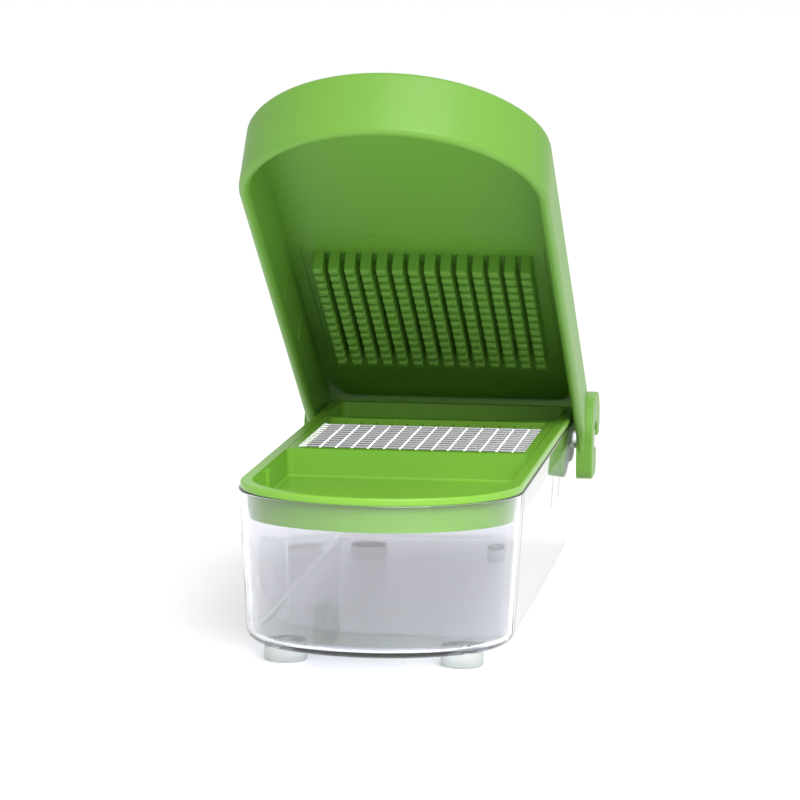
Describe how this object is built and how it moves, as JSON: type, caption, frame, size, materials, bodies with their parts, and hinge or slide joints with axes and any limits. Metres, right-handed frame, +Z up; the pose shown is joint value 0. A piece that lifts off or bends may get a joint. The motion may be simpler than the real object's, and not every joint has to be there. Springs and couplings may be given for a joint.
{
  "type": "vegetable dicer",
  "caption": "Lever-press dicer: clear D-shaped bin on round feet, drop-in deck with a square grid of steel strips, and a hinged lid whose pusher teeth press food through the grid.",
  "frame": {"origin": "on the surface it stands on, under the middle of the whole dicer with the lid part open", "axes": "+Z up, -Y towards the rounded front, +X to the user's right as they face the front"},
  "size_m": [0.1216, 0.2899, 0.2144],
  "materials": {
    "clear_plastic": "clear, polished",
    "foot_rubber": "translucent, matt",
    "green_deck": "satin",
    "green_cassette": "satin",
    "blade_steel": "bright, ground edges",
    "green_lid": "satin",
    "green_pusher": "satin"
  },
  "bodies": {
    "base": {"container": "clear_plastic", "foot_front_left": "foot_rubber", "foot_front_right": "foot_rubber", "foot_rear_left": "foot_rubber", "foot_rear_right": "foot_rubber", "deck_frame": "green_deck", "cassette_top": "green_cassette", "cassette_base": "green_cassette", "cross_strip_01": "blade_steel", "cross_strip_02": "blade_steel", "cross_strip_03": "blade_steel", "cross_strip_04": "blade_steel", "cross_strip_05": "blade_steel", "cross_strip_06": "blade_steel", "cross_strip_07": "blade_steel", "cross_strip_08": "blade_steel", "cross_strip_09": "blade_steel", "cross_strip_10": "blade_steel", "cross_strip_11": "blade_steel", "cross_strip_12": "blade_steel", "cross_strip_13": "blade_steel", "long_strip_01": "blade_steel", "long_strip_02": "blade_steel", "long_strip_03": "blade_steel", "long_strip_04": "blade_steel", "long_strip_05": "blade_steel", "long_strip_06": "blade_steel", "long_strip_07": "blade_steel", "long_strip_08": "blade_steel", "long_strip_09": "blade_steel", "long_strip_10": "blade_steel", "long_strip_11": "blade_steel", "long_strip_12": "blade_steel", "long_strip_13": "blade_steel"},
    "lid": {"lid": "green_lid", "pusher": "green_pusher"}
  },
  "joints": [
    {"name": "lid_hinge", "type": "hinge", "parent": "base", "child": "lid", "pos_m": [0, 0.121, 0.0521], "axis": [-1, 0, 0], "range_deg": [-32.2, 57.8]}
  ]
}
